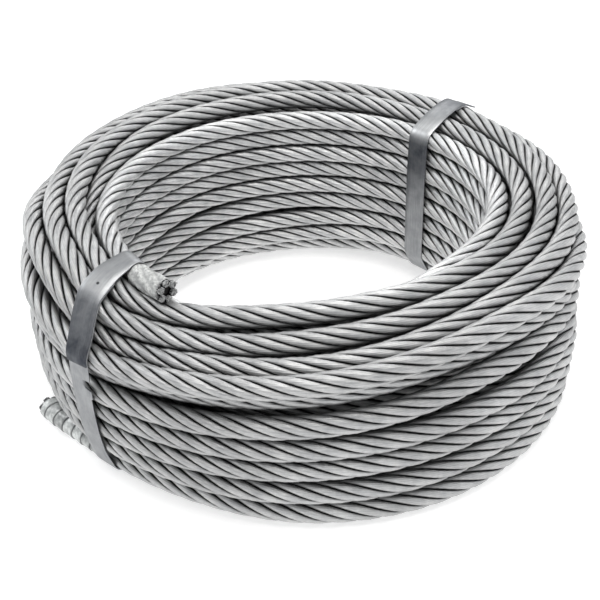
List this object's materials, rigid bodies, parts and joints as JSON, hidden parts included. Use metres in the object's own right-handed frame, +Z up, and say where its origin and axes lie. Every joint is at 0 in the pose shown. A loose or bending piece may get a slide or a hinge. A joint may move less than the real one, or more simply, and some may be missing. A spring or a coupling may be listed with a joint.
{
  "type": "wire rope coil",
  "caption": "Coil of stranded galvanised steel wire rope, wound in layers round an open bore and tied with flat steel straps.",
  "frame": {"origin": "centre of the coil's footprint, on the floor", "axes": "+Z up along the coil's axis; the side the picture shows first faces -Y, with +X to its right"},
  "size_m": [0.207, 0.207, 0.0782],
  "materials": {
    "rope_steel": "galvanised stranded wire, light grey with dark grooves",
    "strap_steel": "blue-grey flat strapping, satin"
  },
  "bodies": {
    "root": {"rope_coil": "rope_steel", "rope_end_inner": "rope_steel", "rope_end_outer": "rope_steel", "strap_front": "strap_steel", "strap_back": "strap_steel"}
  },
  "joints": []
}
